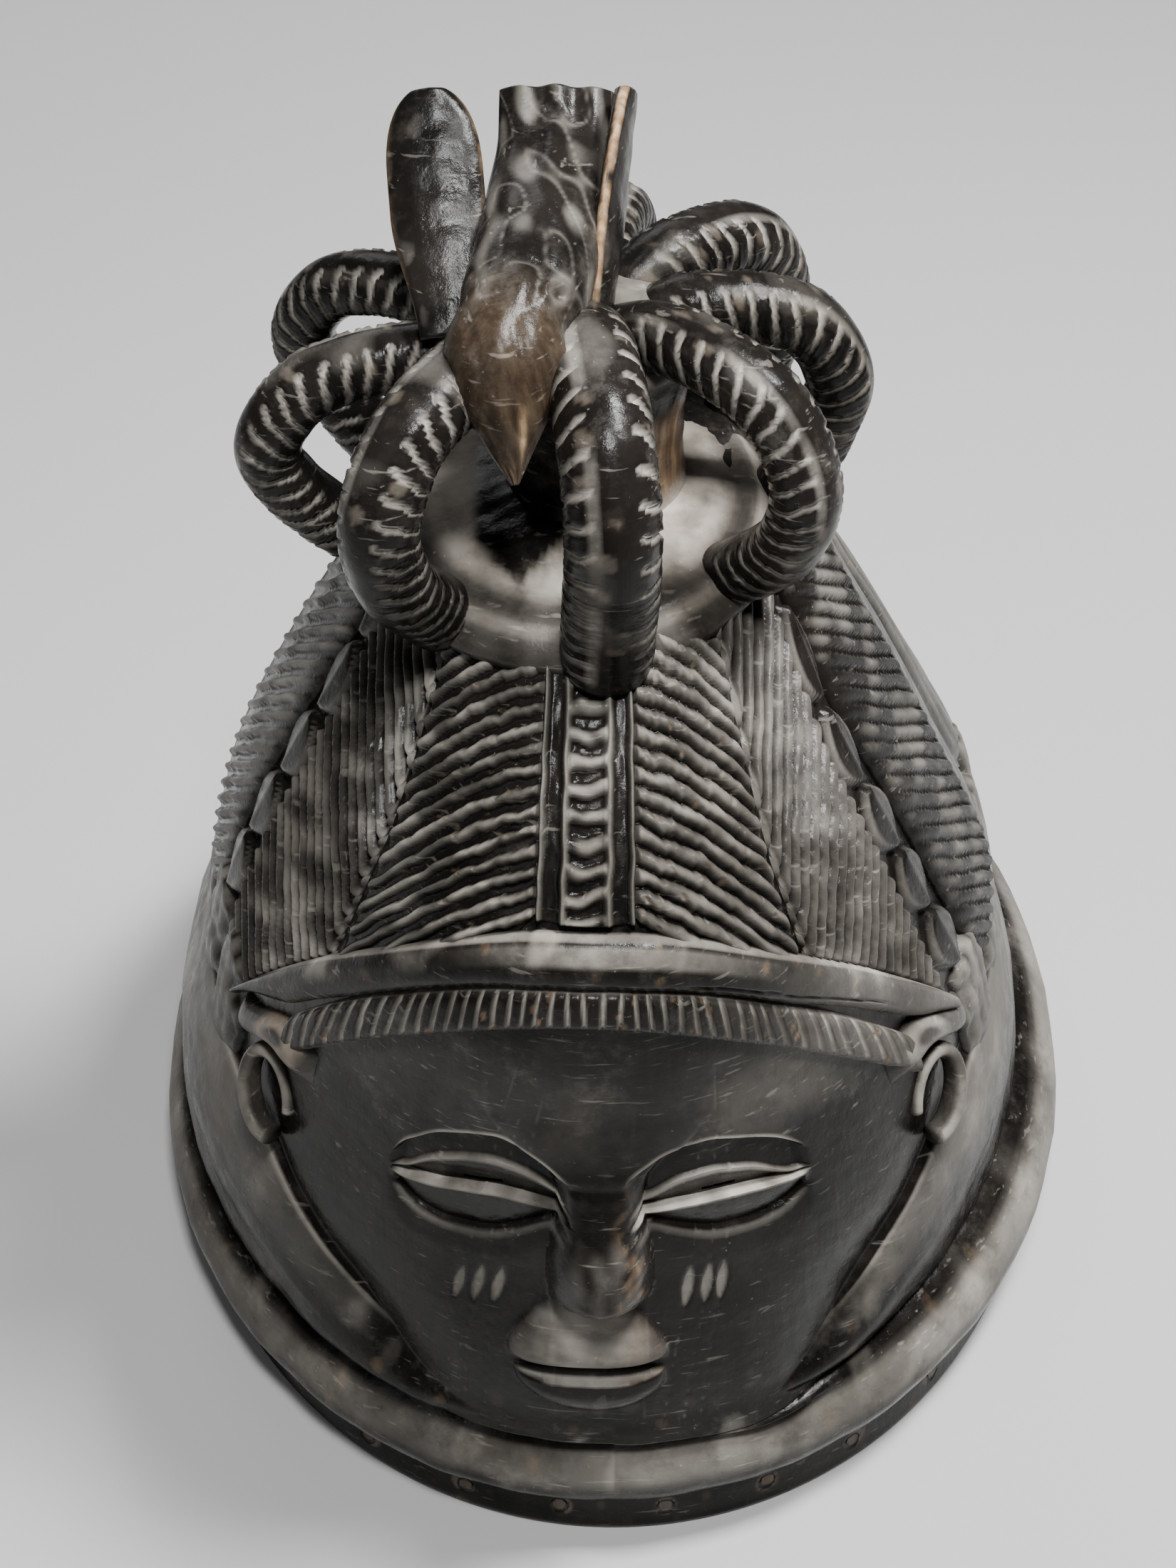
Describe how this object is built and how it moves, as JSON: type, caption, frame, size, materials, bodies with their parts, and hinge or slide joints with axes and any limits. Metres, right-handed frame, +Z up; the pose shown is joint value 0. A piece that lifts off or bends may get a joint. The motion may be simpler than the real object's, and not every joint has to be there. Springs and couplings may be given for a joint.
{
  "type": "bundu mask",
  "caption": "Carved wooden helmet mask with a calm face, ridged coiffure, ringed neck and a crest of ribbed loops carrying a bird.",
  "frame": {"origin": "middle of the rim's underside, the plane the mask stands on", "axes": "+Z up the mask to the bird's tail, -Y the way the face looks, +X to the viewer's right when the face is seen from the front"},
  "size_m": [0.2418, 0.278, 0.3229],
  "materials": {
    "stained_wood": "dark stained and polished, dusty in the cuts"
  },
  "bodies": {
    "root": {"mask": "stained_wood"}
  },
  "joints": []
}
